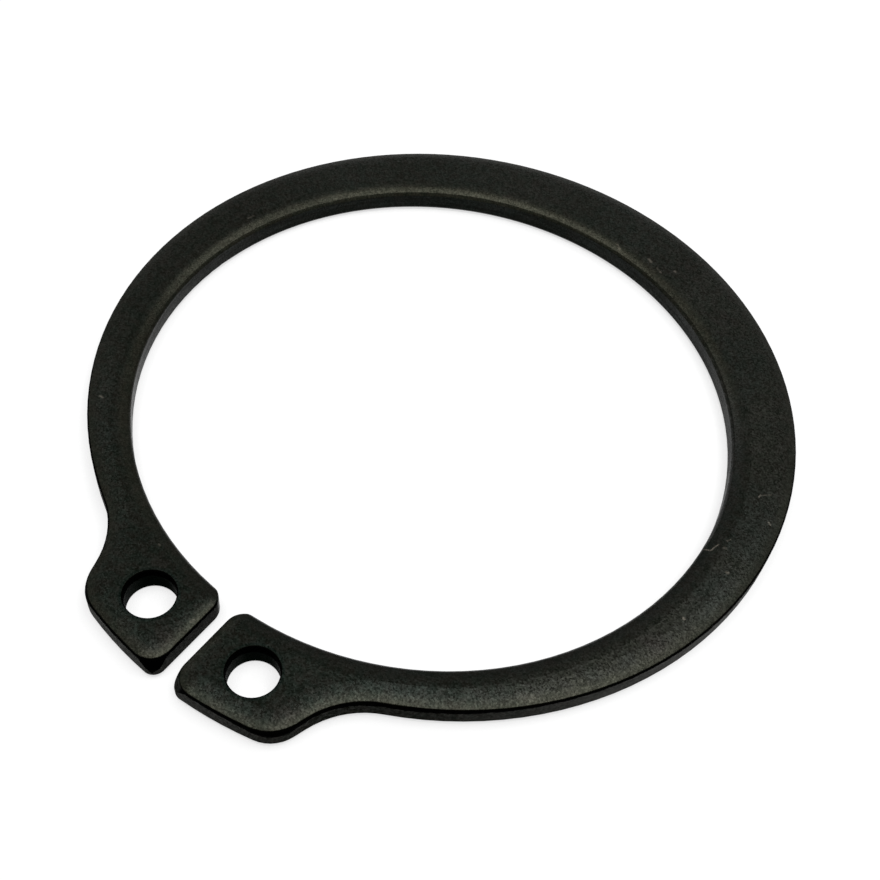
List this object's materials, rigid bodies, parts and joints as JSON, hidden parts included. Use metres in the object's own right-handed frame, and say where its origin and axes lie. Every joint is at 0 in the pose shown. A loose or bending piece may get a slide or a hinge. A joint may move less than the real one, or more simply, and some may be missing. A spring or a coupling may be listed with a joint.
{
  "type": "external circlip",
  "caption": "External circlip: flat spring-steel ring with a gap, two lugs and a plier hole in each, for a groove in a shaft.",
  "frame": {"origin": "centre of the free inner circle, on the underside", "axes": "+Z along the shaft's axis, from the sharper underside to the rolled top face; +Y away from the lugs; the gap and the lugs point to -Y"},
  "size_m": [0.038, 0.0411, 0.0015],
  "materials": {
    "spring_steel": "black phosphated and oiled spring steel, tumbled edges"
  },
  "bodies": {
    "root": {"circlip": "spring_steel"}
  },
  "joints": []
}
